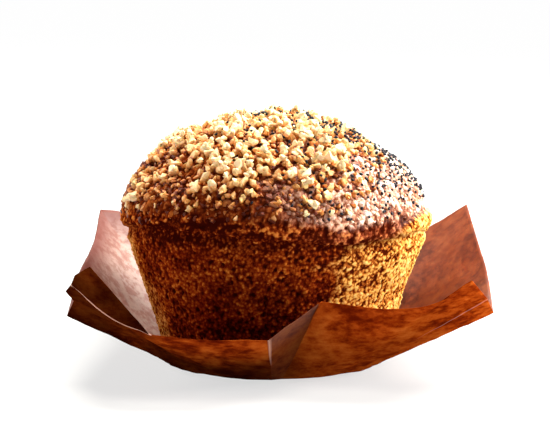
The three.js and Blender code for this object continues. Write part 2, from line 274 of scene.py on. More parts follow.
def make_sponge():
    rows, columns = ((170, 550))
    points, angle, height = sponge_surface(rows, columns)
    normals = grid_normals(points, rows, columns)
    turn = np.cos(angle)
    over_lip = points[:, 2] - around(LIP_LINE, angle)
    # 0 on the side wall and 1 on the crown; at the far right the wall's crumb climbs the lip.
    far_right = ramp(turn, 0.72, 0.96)
    crown = ramp(over_lip - 4.5 * far_right, -0.6, 1.6) * (height > 30)
    foot = 1 - ramp(height, SPONGE_BOTTOM, SPONGE_BOTTOM + 1.5)
    # Side wall: the pebbly open crumb that the wrapper pulled away from.
    broad = layered_noise(points, 13.0, 11)
    middle = layered_noise(points, 4.5, 21)
    rough = layered_noise(points, 1.1, 51, 2)
    grain, _ = cell_noise(points + 0.6 * rough[:, None], GRAIN_WIDTH, 31)
    pit_at, pit_own = cell_noise(points + 0.5 * middle[:, None], PIT_WIDTH, 41)
    pit_zone = ramp(middle + 0.5 * broad, -0.25, 0.35)
    pit = ramp(pit_own, 0.35, 0.6) * (1 - ramp(pit_at, 0.12, 0.50)) * (0.35 + 0.65 * pit_zone)
    side = 0.30 * broad + 0.30 * middle + 0.75 * (0.5 - grain) + 0.25 * rough - 0.75 * pit
    # Crown: glazed, knobbly crust.
    knob, _ = cell_noise(points + 0.8 * rough[:, None], KNOB_WIDTH, 61)
    crust = 0.45 * middle + 1.0 * (0.5 - knob) + 0.7 * rough
    shift = (side * (1 - crown) + crust * crown) * (1 - foot)
    # The lip's lower edge is ragged.
    at_lip = np.exp(-((over_lip - 0.8) / 1.6) ** 2) * (height > 30)
    points = points + normals * shift[:, None]
    fill = RIGHT_FILL * ramp(turn, 0.45, 0.9) * ramp(height, 18, 38) * (1 - crown)
    points[:, :2] *= (1 + fill / np.maximum(np.hypot(points[:, 0], points[:, 1]), 1))[:, None]
    points[:, 2] += at_lip * LIP_RAGGEDNESS * layered_noise(points, 4.0, 81)
    points[:, 2] = np.maximum(points[:, 2], SPONGE_BOTTOM)
    over_lip = points[:, 2] - around(LIP_LINE, angle)
    values = {
        "crown": crown,
        # Painted shade: the pits and hollows of the surface are coloured darker.
        "pit_shade": np.clip(0.5 - 0.6 * shift, 0, 1),
        # Paler and more gold at the right and the far left edge: partly painted light.
        "golden_and_lit": golden_and_lit_share(points, angle, height),
        # Pale pinkish on the crown's right: partly sugar glazing, partly painted highlight.
        "glaze_and_highlight": glaze_and_highlight_share(points),
        # Darker band just below the lip: partly the crust's own darker bake, partly painted shade
        # of the overhang.
        "under_lip_bake_and_shade": ramp(over_lip - 3 * ramp(turn, 0, 0.6), -6.0, -2.0)
                     * (1 - ramp(over_lip + middle + rough, 4.0, 6.0)) * (1 - far_right),
    }
    piece = new_mesh("sponge", points, ring_faces(rows, columns), values)
    weld(piece)
    piece.data.shade_smooth()
    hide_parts("muffin")
    return finish_piece(piece, "crust", sponge_material())


def glaze_and_highlight_share(points):
    """How pale the crown's crust is: sugar glazing and painted highlight, strongest on the crown's
    right where the light falls, thinning to the left.
    """
    patch = layered_noise(points, 9.0, 95, 2)
    return ramp(points[:, 0] + 14 * patch, -6, 26)


def weld(piece):
    """Joins points that meet, drops what that flattens, and faces all sides outwards."""
    work = bmesh.new()
    work.from_mesh(piece.data)
    bmesh.ops.remove_doubles(work, verts=work.verts, dist=2e-6)
    bmesh.ops.dissolve_degenerate(work, edges=work.edges, dist=1e-7)
    bmesh.ops.recalc_face_normals(work, faces=work.faces)
    work.to_mesh(piece.data)
    work.free()


def finish_piece(piece, slot, *materials):
    for material in materials:
        piece.data.materials.append(material)
    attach(piece, "root")
    return piece


# --- Wrapper -----------------------------------------------------------------
# The folded sheet of the CAD frame, panel by panel, with finer folds and crinkles.

PAPER_BASE_RADIUS = 33.0        # flat disc pressed into the middle of the sheet
PAPER_THICKNESS = 0.22
WALL_BOW = 0.7                  # how far the walls belly outwards
SHARP_FOLD = math.radians(16)   # folds at least this sharp stay crisp

# Corners of the square sheet and the ends of its creases, on the cut edge.
FRONT_RIDGE = (-1, -60, 17.2)
FRONT_VALLEY = (13, -46, 25)
FRONT_RIGHT_CORNER = (51.5, -60, 33.6)
RIGHT_CREASE = (57.6, -45, 25.5)
RIGHT_RIDGE = (61, -30, 19)
RIGHT_CORNER = (61.7, 50, 38)
BACK_RIDGE = (0.8, 60, 17.5)
BACK_VALLEY = (-13, 46, 25)
LEFT_CORNER = (-55.5, 52, 35.8)
LEFT_RIDGE = (-57, -30, 18)
LEFT_NOTCH = (-54.2, -38, 23.6)
LEFT_CREASE = (-55.6, -45, 27.5)
TURN_UP_LEFT = (-53.5, -50, 30.4)
TURN_UP_MIDDLE = (-42.6, -57, 22.9)
TURN_UP_RIGHT = (-32.1, -58, 18.6)
FRONT_LEFT_SHOULDER = (-52, -54, 33.7)
FRONT_LEFT_CORNER = (-47.4, -60, 37)

# Where each panel starts and ends on the base circle in degrees, how many columns it
# has, and the cut edge or turn-up crease that it reaches.
PANELS = [
    (-90.5, -86, 16, [FRONT_RIDGE, FRONT_VALLEY]),
    (-86, -54, 64, [FRONT_VALLEY, (33.6, -51, 24), (43.1, -54, 26.3), FRONT_RIGHT_CORNER]),
    (-54, -50.5, 16, [FRONT_RIGHT_CORNER, RIGHT_CREASE]),
    (-50.5, -48, 12, [RIGHT_CREASE, RIGHT_RIDGE]),
    (-48, 45, 88, [RIGHT_RIDGE, (61.1, -15, 25.9), (61.8, 12, 30), RIGHT_CORNER]),
    (45, 89.5, 60, [RIGHT_CORNER, (49.2, 56, 28.7), (30, 58, 20), BACK_RIDGE]),
    (89.5, 94, 16, [BACK_RIDGE, BACK_VALLEY]),
    (94, 135, 56, [BACK_VALLEY, (-33, 51, 26), (-48.6, 54, 34.7), LEFT_CORNER]),
    (135, 231.3, 88, [LEFT_CORNER, (-55.1, 28, 29.9), (-56.6, -4, 24.6), LEFT_RIDGE]),
    (231.3, 233, 8, [LEFT_RIDGE, LEFT_NOTCH]),
    (233, 235, 8, [LEFT_NOTCH, LEFT_CREASE]),
    (235, 236.5, 6, [LEFT_CREASE, TURN_UP_LEFT]),
    (236.5, 252, 36, [TURN_UP_LEFT, TURN_UP_MIDDLE, TURN_UP_RIGHT]),
    (252, 269.5, 40, [TURN_UP_RIGHT, (-17, -61, 17.9), FRONT_RIDGE]),
]
FACET_PANEL = 0                 # the narrow panel between the front ridge and its valley
TURN_UP_PANEL = 12
TURN_UP_EDGE = [TURN_UP_LEFT, FRONT_LEFT_SHOULDER, FRONT_LEFT_CORNER, TURN_UP_RIGHT]
# Creases paled partly by rubbed fibres and partly by painted highlight where the folds catch the
# light, by the panel that starts there.
RUBBED_AND_LIT_CREASES = {0: 0.46, 3: 0.42, 4: 0.25, 9: 0.25, 10: 0.2}


def smooth_run(points, shares):
    """A centripetal curve through the points, read at shares of its length."""
    points = np.array(points, float)
    if len(points) > 2:
        ends = [2 * points[0] - points[1], 2 * points[-1] - points[-2]]
        padded = np.vstack([ends[0], points, ends[1]])
        fine = []
        for i in range(1, len(padded) - 2):
            p0, p1, p2, p3 = padded[i - 1:i + 3]
            t0, t1 = 0.0, np.linalg.norm(p1 - p0) ** 0.5
            t2 = t1 + np.linalg.norm(p2 - p1) ** 0.5
            t3 = t2 + np.linalg.norm(p3 - p2) ** 0.5
            t = np.linspace(t1, t2, 30, endpoint=False)[:, None]
            a1 = (t1 - t) / (t1 - t0) * p0 + (t - t0) / (t1 - t0) * p1
            a2 = (t2 - t) / (t2 - t1) * p1 + (t - t1) / (t2 - t1) * p2
            a3 = (t3 - t) / (t3 - t2) * p2 + (t - t2) / (t3 - t2) * p3
            b1 = (t2 - t) / (t2 - t0) * a1 + (t - t0) / (t2 - t0) * a2
            b2 = (t3 - t) / (t3 - t1) * a2 + (t - t1) / (t3 - t1) * a3
            fine.append((t2 - t) / (t2 - t1) * b1 + (t - t1) / (t2 - t1) * b2)
        points = np.vstack(fine + [points[-1:]])
    return straight_run(points, shares)


def straight_run(points, shares):
    points = np.array(points, float)
    length = np.concatenate([[0], np.cumsum(np.linalg.norm(np.diff(points, axis=0), axis=1))])
    marks = np.asarray(shares) * length[-1]
    return np.stack([np.interp(marks, length, points[:, k]) for k in range(3)], axis=1)


def wrapper_columns():
    """Of each column of the sheet: its foot, its top, its pale crease and its share of facet."""
    feet, tops, pale, facet = [], [], [], []
    for index, (start, end, count, edge) in enumerate(PANELS):
        shares = np.arange(count) / count
        turn = np.radians(start + (end - start) * shares)
        feet.append(PAPER_BASE_RADIUS * np.stack([np.cos(turn), np.sin(turn), 0 * turn], axis=1))
        tops.append(smooth_run(edge, shares))
        mark = np.zeros(count)
        mark[0] = RUBBED_AND_LIT_CREASES.get(index, 0.0)
        pale.append(mark)
        facet.append(np.full(count, float(index == FACET_PANEL)))
    return np.vstack(feet), np.vstack(tops), np.concatenate(pale), np.concatenate(facet)


def crinkles(points):
    """Long soft buckles and fine sharp crinkles of handled paper, in millimetres."""
    buckle = layered_noise(points, 22.0, 101, 2)
    crinkle = 1 - np.abs(layered_noise(points, 7.0, 111, 3)) * 2
    return 0.55 * buckle + 0.22 * crinkle


def turned_up_corner(crease, rows, first, start):
    """Points and faces of the corner folded up along the crease; start is its first index."""
    count = len(crease)
    tips = straight_run(TURN_UP_EDGE, np.linspace(0, 1, count))
    rise = np.linspace(0, 1, rows + 1)[1:]
    flat = crease[None] + (tips - crease)[None] * rise[:, None, None]
    away = np.cross(tips[count // 2] - crease[count // 2], crease[-1] - crease[0])
    away /= -np.linalg.norm(away)
    points = flat[:, 1:-1].reshape(-1, 3)
    ease = np.repeat(ramp(rise, 0, 0.3), count - 2)
    points = points + away * (ease * crinkles(points))[:, None]

    def index(row, column):
        if row == 0 or column in (0, count - 1):
            return first + column
        return start + (row - 1) * (count - 2) + column - 1

    faces = []
    for row in range(rows):
        for column in range(count - 1):
            face = [index(row, column), index(row, column + 1),
                    index(row + 1, column + 1), index(row + 1, column)]
            face = list(dict.fromkeys(face))
            if len(face) > 2:
                faces.append(face)
    return points, faces


def make_wrapper():
    disc_rows, wall_rows, tip_rows = ((14, 46, 16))
    feet, tops, pale, facet = wrapper_columns()
    columns = len(feet)
    outward = feet / PAPER_BASE_RADIUS
    rows = [feet * max(share, 0.002) for share in np.linspace(0, 1, disc_rows, endpoint=False)]
    for climb in np.linspace(0, 1, wall_rows):
        bow = WALL_BOW * math.sin(math.pi * climb)
        rows.append(feet + (tops - feet) * climb + outward * bow)
    grid = np.array(rows)
    # The pressed base turns up into the walls over a small radius.
    soft = slice(disc_rows - 2, disc_rows + 3)
    for _ in range(6):
        eased = (grid[disc_rows - 3:disc_rows + 2] + grid[disc_rows - 1:disc_rows + 4]) / 2
        grid[soft] = 0.5 * grid[soft] + 0.5 * eased
    grid[:disc_rows - 1, :, 2] = 0.0
    points = grid.reshape(-1, 3)
    count = len(grid)
    normals = grid_normals(points, count, columns)
    climb = np.clip((np.repeat(np.arange(count), columns) - disc_rows) / (wall_rows - 1), 0, 1)
    # The tight gathers where the sheet was pressed round the baking tin.
    gathers = layered_noise(points * np.array([1, 1, 0.35]), 3.2, 121, 2)
    near_base = ramp(climb, 0.0, 0.08) * (1 - ramp(climb, 0.15, 0.5))
    shift = ramp(climb, 0.02, 0.25) * crinkles(points) + 0.45 * near_base * gathers
    points = points + normals * shift[:, None]
    points[:, 2] = np.maximum(points[:, 2], 0.0)
    # Pale crease lines: partly rubbed fibres, partly painted highlight.
    crease = np.tile(pale, count) * ramp(climb, 0.1, 0.8)
    # Painted shade darkens the sheet around its base and at the left, with wandering edges.
    shade_edge_noise = layered_noise(points, 9.0, 171, 2)
    painted_shade = 1 - ramp(climb + 0.15 * shade_edge_noise, 0.2, 1.1)
    left = 1 - ramp(points[:, 0], -2, 14)
    painted_shade = np.maximum(painted_shade * (0.5 + 0.5 * left), 0.28 * left)
    painted_shade = np.maximum(painted_shade, ramp(-points[:, 0] + 6 * shade_edge_noise, 14, 46))
    # The front ridge's facet is darkened by painted shade, and paled a little towards its top by
    # painted sheen.
    facet = np.tile(facet, count)
    painted_shade = np.maximum(painted_shade, 0.93 * facet)
    crease = np.maximum(crease, facet * (0.206 + 0.03 * ramp(climb, 0.6, 1.0)))
    # The turned-up front left corner.
    first = (count - 1) * columns + sum(panel[2] for panel in PANELS[:TURN_UP_PANEL])
    last = first + PANELS[TURN_UP_PANEL][2]
    # The turn-up crease is painted fully pale: partly rubbed fibres, partly painted highlight.
    crease[first:last + 1] = 1.0
    corner, corner_faces = turned_up_corner(points[first:last + 1], tip_rows, first, len(points))
    values = {"crease": np.append(crease, np.zeros(len(corner))),
              # The turned-up corner is fully in painted shade.
              "painted_shade": np.append(painted_shade, 1.0 + 0.08 * smooth_noise(corner, 9.0, 181)),
              # Painted sheen and light on the left petal, strongest at the far left.
              "left_sheen": ramp(-np.append(points[:, 0], corner[:, 0]), 10, 36),
              "climb": np.append(climb, np.ones(len(corner)))}
    piece = new_mesh("paper_wrapper", np.vstack([points, corner]),
                     ring_faces(count, columns) + corner_faces, values)
    piece.data.shade_smooth()
    piece.data.set_sharp_from_angle(angle=SHARP_FOLD)
    sheet = piece.modifiers.new("thickness", "SOLIDIFY")
    sheet.thickness = PAPER_THICKNESS * MM
    sheet.offset = -1
    sheet.use_even_offset = True
    sheet.thickness_clamp = 1.0
    sheet.material_offset = 1       # the inner face
    sheet.material_offset_rim = 2   # the cut edge
    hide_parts("tulip_wrapper")
    # The inside face gets a painted sheen; the outside and the cut edge none.
    return finish_piece(piece, "paper", paper_material("paper_outside", 0.0, 0.0),
                        paper_material("paper_inside", 0.22, 0.45),
                        paper_material("paper_cut_edge", 0.0, 0.0))


# --- Crumble -----------------------------------------------------------------

CRUMBLE_CENTRE = (-4, -8)       # the thick crumble sits a little left and forward
LUMP_KINDS = 18                 # different grains in each piece, before they are turned
CRUMBLE_PARTS = 3               # sectors that it is split into, so that no piece is too heavy
# Spacing, tries, least height of mound, and rise above the crust: a bed, and heaps on it.
CRUMBLE_LAYERS = ((2.4, 60000, -0.45, 0.5), (2.9, 50000, -0.05, 2.0))
LARGEST_GRAIN = 1.6
SHARP_GRAIN = math.radians(22)  # edges of a grain at least this sharp stay crisp


def unit_lump(detail, rng, facets):
    """One broken, angular grain, about one unit in radius, as points and triangles."""
    work = bmesh.new()
    bmesh.ops.create_icosphere(work, subdivisions=detail, radius=1.0)
    points = np.array([v.co[:] for v in work.verts])
    faces = np.array([[v.index for v in f.verts] for f in work.faces])
    work.free()
    for facet in rng.normal(size=(facets, 3)):
        facet /= np.linalg.norm(facet)
        reach = points @ facet
        points -= facet * np.maximum(reach - rng.uniform(0.34, 0.72), 0)[:, None]
    offset = rng.uniform(-50, 50, 3)
    crags = layered_noise(points + offset, 0.6, 131, 2)
    return points * (1.26 + 0.22 * crags)[:, None], faces


def random_turns(rng, count):
    """Rotation matrices, evenly spread over all directions."""
    q = rng.normal(size=(count, 4))
    q /= np.linalg.norm(q, axis=1, keepdims=True)
    w, x, y, z = q.T
    return np.stack([
        np.stack([1 - 2 * (y * y + z * z), 2 * (x * y - z * w), 2 * (x * z + y * w)], axis=1),
        np.stack([2 * (x * y + z * w), 1 - 2 * (x * x + z * z), 2 * (y * z - x * w)], axis=1),
        np.stack([2 * (x * z - y * w), 2 * (y * z + x * w), 1 - 2 * (x * x + y * y)], axis=1),
    ], axis=1)


def scatter_lumps(name, centres, sizes, tone, rng, detail, facets):
    """One piece made of a grain at each centre, each a turned and stretched unit lump."""
    kinds = [unit_lump(detail, rng, facets) for _ in range(LUMP_KINDS)]
    turns = random_turns(rng, len(centres))
    stretch = rng.uniform(0.72, 1.25, (len(centres), 3))
    all_points, all_faces, start = [], [], 0
    for i, centre in enumerate(centres):
        points, faces = kinds[i % len(kinds)]
        all_points.append((points * stretch[i]) @ turns[i].T * sizes[i] + centre)
        all_faces.append(faces + start)
        start += len(points)
    points = np.vstack(all_points)
    up = crown_normal(points[:, 0], points[:, 1])
    # Height over the crust, which the materials turn into painted shade low between the grains.
    height_for_painted_shade = (points[:, 2] - crown_height(points[:, 0], points[:, 1])) * up[:, 2]
    turn = np.arctan2(points[:, 1], points[:, 0])
    over_lip = points[:, 2] - around(LIP_LINE, turn)
    values = {"tone": np.repeat(tone, len(kinds[0][0])), "height_for_painted_shade": height_for_painted_shade,
              # Pale on the right: partly sugar glazing, partly painted highlight.
              "glaze_and_highlight": glaze_and_highlight_share(points) * ramp(over_lip, 4.0, 6.8)}
    piece = new_mesh(name, points, np.vstack(all_faces).tolist(), values)
    piece.data.shade_smooth()
    piece.data.set_sharp_from_angle(angle=SHARP_GRAIN)
    return piece


def crumble_cover(x, y):
    """1 where the crumble lies thick, falling to 0 on the bare crust, with its sugar glazing."""
    x, y = x - CRUMBLE_CENTRE[0], y - CRUMBLE_CENTRE[1]
    out = np.hypot(x / 32, y / 37)
    turn = np.arctan2(y, x)
    edge = 0.10 * np.sin(3 * turn + 0.6) + 0.06 * np.sin(7 * turn)
    return 1 - ramp(out + edge, 0.80, 1.10)


def scatter_on_crown(rng, tries, spacing, keep, reach=43.2):
    """Places on the crown at least `spacing` apart, thinned out by keep(x, y)."""
    radius = reach * np.sqrt(rng.uniform(0, 1, tries))
    turn = rng.uniform(0, 2 * math.pi, tries)
    x, y = radius * np.cos(turn), radius * np.sin(turn)
    # The crown's steep rim has more surface for the same plan.
    steep = 1 / np.maximum(crown_normal(x, y)[:, 2], 0.12)
    wanted = keep(x, y) * np.minimum(steep, 6) / 6 > rng.uniform(0, 1, tries)
    x, y = x[wanted], y[wanted]
    z = crown_height(x, y)
    places, cells = [], {}
    for place in np.stack([x, y, z], axis=1):
        cell = tuple((place // spacing).astype(int))
        near = (cells.get((cell[0] + i, cell[1] + j, cell[2] + k), [])
                for i in (-1, 0, 1) for j in (-1, 0, 1) for k in (-1, 0, 1))
        if all(np.linalg.norm(place - other) >= spacing for group in near for other in group):
            cells.setdefault(cell, []).append(place)
            places.append(place)
    return np.array(places)


def crumble_clumps(rng):
    """Craggy clumps of a few grains each: centres, sizes and a tone shared within a clump."""
    cores = [sum(box_mm(node)) / 2 for node in CRUMB_NODES]
    reach = [float(min(high - low)) / 2 for low, high in map(box_mm, CRUMB_NODES)]
    for spacing, tries, least, lift in CRUMBLE_LAYERS:
        bed = scatter_on_crown(rng, tries, spacing, crumble_cover)
        mound = layered_noise(bed, 6.0, 141, 2)
        bed, mound = bed[mound > least], mound[mound > least]
        cover = crumble_cover(bed[:, 0], bed[:, 1])
        rise = (lift + 0.9 * np.maximum(mound, 0)) * (0.3 + 0.7 * cover)
        cores.extend(bed + crown_normal(bed[:, 0], bed[:, 1]) * rise[:, None])
        reach.extend(rng.uniform(0.8, 1.6, len(bed)) * (0.55 + 0.45 * cover))
    centres, sizes, tone = [], [], []
    for core, wide in zip(cores, reach):
        shade = rng.uniform(0, 1)
        for _ in range(rng.integers(3, 6)):
            offset = rng.normal(size=3)
            offset *= rng.uniform(0.35, 0.95) * wide / np.linalg.norm(offset)
            centres.append(core + offset)
            sizes.append(min(rng.uniform(0.68, 1.20) * (0.45 + 0.50 * wide), LARGEST_GRAIN))
            tone.append(0.7 * shade + rng.uniform(0, 0.3))
    return np.array(centres), np.array(sizes), np.array(tone)


def make_crumble():
    """The clumps, sector by sector, and fine crumbs beneath them."""
    rng = np.random.default_rng(7)
    centres, sizes, tone = crumble_clumps(rng)
    pieces = []

    def sector(x, y):
        turn = np.arctan2(y - CRUMBLE_CENTRE[1], x - CRUMBLE_CENTRE[0]) / (2 * math.pi) + 0.5
        return (turn * CRUMBLE_PARTS).astype(int) % CRUMBLE_PARTS

    own = sector(centres[:, 0], centres[:, 1])
    middles = np.array([sum(box_mm(node)) / 2 for node in CRUMB_NODES])
    node_own = sector(middles[:, 0], middles[:, 1])
    for part in range(CRUMBLE_PARTS):
        mine = own == part
        piece = scatter_lumps(f"crumble_{part + 1}", centres[mine], sizes[mine], tone[mine], rng,
                              2, 11)
        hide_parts(*(n for n, at in zip(CRUMB_NODES, node_own) if at == part))
        pieces.append(finish_piece(piece, "crumble", crumble_material()))
    fine = scatter_on_crown(rng, 60000, 1.25,
                            lambda x, y: 0.22 * ramp(crumble_cover(x, y), 0.1, 0.6))
    size = rng.uniform(0.45, 0.85, len(fine))
    fine += crown_normal(fine[:, 0], fine[:, 1]) * (0.2 * size)[:, None]
    piece = scatter_lumps("fine_crumbs", fine, size, rng.uniform(0, 1, len(fine)), rng, 1, 6)
    pieces.append(finish_piece(piece, "crumble", crumble_material()))
    return pieces


def make_sugar_grit():
    """Small grains sunk in the rest of the crown, down to the lip, paler towards the right with
    sugar glazing and painted highlight.
    """
    rng = np.random.default_rng(19)

    def keep(x, y):
        patch = smooth_noise(np.stack([x, y, 0 * x], axis=1), 9.0, 151)
        turn = np.arctan2(y, x)
        over_lip = crown_height(x, y) - around(LIP_LINE, turn) + 1.8 * patch
        return (0.55 + 0.45 * ramp(patch, -0.6, 0.2)) * (0.35 + 0.65 * ramp(over_lip, 3.6, 6.4))

    places = scatter_on_crown(rng, 110000, 1.1, keep, 43.95)
    places = places[crumble_cover(places[:, 0], places[:, 1]) < 0.75]
    up = crown_normal(places[:, 0], places[:, 1])
    sizes = rng.uniform(0.55, 1.40, len(places))
    low = 1 - ramp(crown_height(places[:, 0], places[:, 1]), 50, 60)
    centres = places - up * ((0.45 + 0.25 * low) * sizes)[:, None]
    tone = rng.uniform(0, 1, len(places))
    pieces, right = [], places[:, 0] > 8
    for name, mine in (("sugar_grit_right", right), ("sugar_grit_left", ~right)):
        piece = scatter_lumps(name, centres[mine], sizes[mine], tone[mine], rng, 1, 4)
        pieces.append(finish_piece(piece, "crumble", grit_material()))
    return pieces


# --- Poppy seeds -------------------------------------------------------------

HIGHEST_SEED = 2.3              # seeds roll off the crumbs that stand taller than this
SEED_DROP = 9.0                 # how far above the crust each seed starts its fall


def seed_shape():
    """A kidney-shaped seed, one unit long."""
    work = bmesh.new()
    bmesh.ops.create_icosphere(work, subdivisions=2, radius=0.5)
    points = np.array([v.co[:] for v in work.verts])
    faces = np.array([[v.index for v in f.verts] for f in work.faces])
    work.free()
    points *= np.array([1.0, 0.74, 0.66])
    points[:, 1] += 0.55 * points[:, 0] ** 2
    dent = np.exp(-(points[:, 0] / 0.16) ** 2) * (points[:, 1] < 0)
    points[:, 1] += 0.06 * dent
    return points, faces


def make_seeds(ground):
    """Seeds dropped onto whatever topping lies below them."""
    rng = np.random.default_rng(23)

    def keep(x, y):
        side = ramp(x, -12, 26)
        band = np.exp(-(np.hypot((x - 27) / 9, (y - 2) / 15)) ** 2)
        patches = ramp(smooth_noise(np.stack([x, y, 0 * x], axis=1), 6.0, 161), -0.3, 0.5)
        top = np.exp(-(np.hypot(x - 7, y + 2) / 13) ** 2) * patches
        return np.clip(0.08 * side + 1.6 * band * (0.2 + 0.8 * patches) + 1.1 * top, 0, 1)

    places = scatter_on_crown(rng, 60000, 0.75, keep, 43.6)
    up = crown_normal(places[:, 0], places[:, 1])
    points, faces = seed_shape()
    all_points, all_faces, start = [], [], 0
    for place, normal in zip(places, up):
        origin = Vector((place + normal * SEED_DROP) * MM)
        hit, face_normal, _, _ = ground.ray_cast(origin, Vector(-normal))
        if hit is None or (hit - origin).length < (SEED_DROP - HIGHEST_SEED) * MM:
            continue
        upright = face_normal.to_track_quat("Z", "Y").to_matrix()
        spin = rng.uniform(0, 2 * math.pi)
        turn = np.array(upright) @ np.array([
            [math.cos(spin), -math.sin(spin), 0], [math.sin(spin), math.cos(spin), 0], [0, 0, 1]])
        length = rng.uniform(0.9, 1.25)
        centre = np.array(hit) / MM + np.array(face_normal) * 0.25 * length
        all_points.append(points @ turn.T * length + centre)
        all_faces.append(faces + start)
        start += len(points)
    piece = new_mesh("poppy_seeds", np.vstack(all_points), np.vstack(all_faces).tolist())
    piece.data.shade_smooth()
    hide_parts(*SEED_NODES)
    return finish_piece(piece, "poppy_seed", seed_material())


def ground_under_seeds(pieces):
    """The pieces' faces, ready for seeds to be dropped onto."""
    points, faces, start = [], [], 0
    for piece in pieces:
        points.extend(v.co.copy() for v in piece.data.vertices)
        faces.extend([start + i for i in f.vertices] for f in piece.data.polygons)
        start += len(piece.data.vertices)
    return BVHTree.FromPolygons(points, faces)


# --- Materials ---------------------------------------------------------------

class Shader:
    """A small helper for building one node material."""

    def __init__(self, name):
        self.material = bpy.data.materials.new(name)
        self.material.use_nodes = True
        self.tree = self.material.node_tree
        self.tree.nodes.clear()
        self.surface = self.node("ShaderNodeBsdfPrincipled")
        self.output = self.node("ShaderNodeOutputMaterial")
        self.link(self.surface.outputs[0], self.output.inputs["Surface"])
        self.place = self.node("ShaderNodeTexCoord").outputs["Object"]

    def node(self, kind, **settings):
        made = self.tree.nodes.new(kind)
        for key, value in settings.items():
            setattr(made, key, value)
        return made

    def link(self, source, target):
        """Joins a socket, or sets a number or a colour."""
        if isinstance(source, (int, float)):
            target.default_value = source
        elif isinstance(source, tuple):
            target.default_value = (*source, 1.0)
        else:
            self.tree.links.new(source, target)

    def number(self, name):
        """A number kept on the mesh's vertices."""
        return self.node("ShaderNodeAttribute", attribute_name=name).outputs["Fac"]

    def stretched(self, x, y, z):
        mapping = self.node("ShaderNodeMapping")
        self.link(self.place, mapping.inputs["Vector"])
        mapping.inputs["Scale"].default_value = (x, y, z)
        return mapping.outputs[0]

    def noise(self, size_mm, detail=3.0, rough=0.55, place=None):
        made = self.node("ShaderNodeTexNoise")
        self.link(place or self.place, made.inputs["Vector"])
        made.inputs["Scale"].default_value = 1.0 / (size_mm * MM)
        made.inputs["Detail"].default_value = detail
        made.inputs["Roughness"].default_value = rough
        return made.outputs["Fac"]

    def cells(self, size_mm):
        """Distance from the middles of scattered cells."""
        made = self.node("ShaderNodeTexVoronoi")
        self.link(self.place, made.inputs["Vector"])
        made.inputs["Scale"].default_value = 1.0 / (size_mm * MM)
        return made.outputs["Distance"]

    def math(self, operation, a, b=0.0):
        made = self.node("ShaderNodeMath", operation=operation)
        self.link(a, made.inputs[0])
        self.link(b, made.inputs[1])
        return made.outputs[0]

    def span(self, value, low, high, to_low=0.0, to_high=1.0):
        """Maps low..high to to_low..to_high, and stays at the ends beyond them."""
        made = self.node("ShaderNodeMapRange", clamp=True)
        self.link(value, made.inputs["Value"])
        for key, number in zip(("From Min", "From Max", "To Min", "To Max"),
                               (low, high, to_low, to_high)):
            made.inputs[key].default_value = number
        return made.outputs[0]

    def ramp(self, value, *stops):
        """Colours at their places from 0 to 1."""
        made = self.node("ShaderNodeValToRGB")
        self.link(value, made.inputs["Fac"])
        bar = made.color_ramp.elements
        while len(bar) < len(stops):
            bar.new(0.5)
        for element, (position, colour) in zip(bar, stops):
            element.position = position
            element.color = (*colour, 1.0)
        return made.outputs["Color"]

    def mix(self, share, a, b):
        """Colour a where the share is 0, b where it is 1."""
        made = self.node("ShaderNodeMix", data_type="RGBA")
        self.link(share, made.inputs[0])
        self.link(a, made.inputs[6])
        self.link(b, made.inputs[7])
        return made.outputs[2]

    def bump(self, height, distance_mm, strength=1.0):
        made = self.node("ShaderNodeBump")
        made.inputs["Strength"].default_value = strength
        made.inputs["Distance"].default_value = distance_mm * MM
        self.link(height, made.inputs["Height"])
        self.link(made.outputs[0], self.surface.inputs["Normal"])
        return made.outputs[0]

    def soften(self, weight, radius_mm):
        """Light that enters and spreads, as in sugar and moist sponge."""
        self.surface.inputs["Subsurface Weight"].default_value = weight
        self.surface.inputs["Subsurface Radius"].default_value = [r * MM for r in radius_mm]
        self.surface.inputs["Subsurface Scale"].default_value = 1.0


